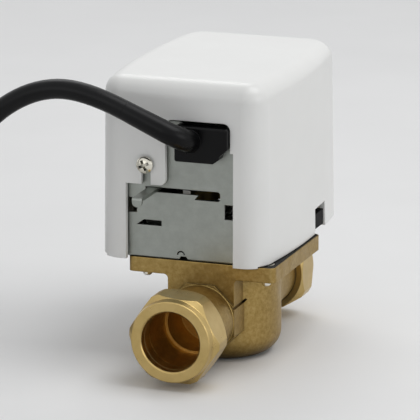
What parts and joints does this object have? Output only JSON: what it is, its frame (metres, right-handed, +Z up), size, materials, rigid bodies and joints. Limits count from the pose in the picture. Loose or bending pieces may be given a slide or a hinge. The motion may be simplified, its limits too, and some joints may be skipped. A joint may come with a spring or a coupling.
{
  "type": "motorized zone valve",
  "caption": "Brass zone valve with compression ends, a motor head under a lift-off cover, a hand lever and a mains lead.",
  "frame": {"origin": "centre of the flat bottom of the valve body's barrel, on the surface the part stands on", "axes": "+Z up through the barrel, Y along the two pipes with the hand lever's side at -Y, +X to the right of it"},
  "size_m": [0.2282, 0.1234, 0.1088],
  "materials": {
    "cast_brass": "cast, satin",
    "turned_brass": "machined, bright",
    "copper": "soft, bright",
    "zinc_steel": "zinc plated sheet",
    "black_steel": "blackened, matt",
    "bright_steel": "nickel plated",
    "spring_steel": "drawn wire",
    "white_cover": "moulded, satin gloss",
    "black_plastic": "moulded, matt",
    "cream_plastic": "moulded, matt",
    "black_pvc": "soft, satin",
    "core_sheath": "soft, five colours",
    "seal_rubber": "matt",
    "tin_brass": "tinned"
  },
  "bodies": {
    "valve": {"valve_body": "cast_brass", "bonnet_plate": "black_steel", "bonnet_seal": "seal_rubber", "bonnet_screws": "bright_steel", "spindle_bush": "turned_brass", "base_frame": "zinc_steel", "frame_screws": "bright_steel", "cover_screw": "bright_steel", "cover_locator": "black_plastic", "spring_post": "bright_steel", "return_spring": "spring_steel", "motor_deck": "zinc_steel", "deck_pillars": "bright_steel", "deck_screws": "bright_steel", "motor_gearbox": "zinc_steel", "motor_can": "zinc_steel", "motor_screws": "bright_steel", "motor_terminals": "cream_plastic", "microswitch": "black_plastic", "switch_card": "cream_plastic", "switch_screws": "bright_steel", "switch_blades": "tin_brass", "strain_relief": "black_pvc", "mains_lead": "black_pvc", "lead_coil": "black_pvc", "lead_cores": "core_sheath", "lead_core_tips": "copper"},
    "drive": {"spindle": "bright_steel", "spindle_o_rings": "seal_rubber", "spindle_clip": "spring_steel", "ball_carrier": "turned_brass", "rubber_ball": "seal_rubber", "ball_pin": "bright_steel", "quadrant_gear": "zinc_steel", "quadrant_hub": "turned_brass", "hub_set_screw": "bright_steel", "manual_lever": "zinc_steel", "lever_rivets": "bright_steel", "spring_pin": "bright_steel", "switch_striker": "bright_steel"},
    "pinion": {"drive_pinion": "bright_steel"},
    "cover": {"cover": "white_cover"},
    "leaf": {"switch_leaf": "spring_steel"},
    "button": {"switch_button": "cream_plastic"},
    "inlet_ring": {"inlet_olive": "turned_brass"},
    "inlet_coupling": {"inlet_nut": "turned_brass"},
    "outlet_ring": {"outlet_olive": "turned_brass"},
    "outlet_coupling": {"outlet_nut": "turned_brass"}
  },
  "joints": [
    {"name": "valve_turn", "type": "hinge", "parent": "valve", "child": "drive", "pos_m": [-0.0072, 0, 0], "axis": [0, 0, 1], "range_deg": [0, 45], "stiffness_Nm_per_rad": 0.12, "springref_deg": -40.11, "deforming": ["return_spring"]},
    {"name": "pinion_spin", "type": "hinge", "parent": "valve", "child": "pinion", "pos_m": [-0.0072, 0.0288, 0], "axis": [0, 0, 1], "range_deg": [-226, 1]},
    {"name": "cover_lift", "type": "slide", "parent": "valve", "child": "cover", "axis": [0, 0, 1], "range_m": [0, 0.072]},
    {"name": "leaf_press", "type": "hinge", "parent": "valve", "child": "leaf", "pos_m": [-0.0282, -0.008, 0.05885], "axis": [-1, 0, 0], "range_deg": [0, 3.5], "stiffness_Nm_per_rad": 0.01, "springref_deg": -5.73},
    {"name": "button_press", "type": "slide", "parent": "valve", "child": "button", "axis": [0, 0, -1], "range_m": [0, 0.0003]},
    {"name": "inlet_nut_travel", "type": "slide", "parent": "valve", "child": "inlet_ring", "axis": [0, -1, 0], "range_m": [0, 0.00726]},
    {"name": "inlet_nut_turn", "type": "hinge", "parent": "inlet_ring", "child": "inlet_coupling", "pos_m": [0, -0.05, 0.0185], "axis": [0, -1, 0], "range_deg": [0, 1440]},
    {"name": "outlet_nut_travel", "type": "slide", "parent": "valve", "child": "outlet_ring", "axis": [0, 1, 0], "range_m": [0, 0.00726]},
    {"name": "outlet_nut_turn", "type": "hinge", "parent": "outlet_ring", "child": "outlet_coupling", "pos_m": [0, 0.05, 0.0185], "axis": [0, 1, 0], "range_deg": [0, 1440]}
  ],
  "couplings": [
    {"joint": "pinion_spin", "follows": "valve_turn", "ratio": -5},
    {"joint": "button_press", "follows": "leaf_press", "m_per_rad": 0.004},
    {"joint": "inlet_nut_travel", "follows": "inlet_nut_turn", "m_per_rad": 0.00028868},
    {"joint": "outlet_nut_travel", "follows": "outlet_nut_turn", "m_per_rad": 0.00028868}
  ]
}
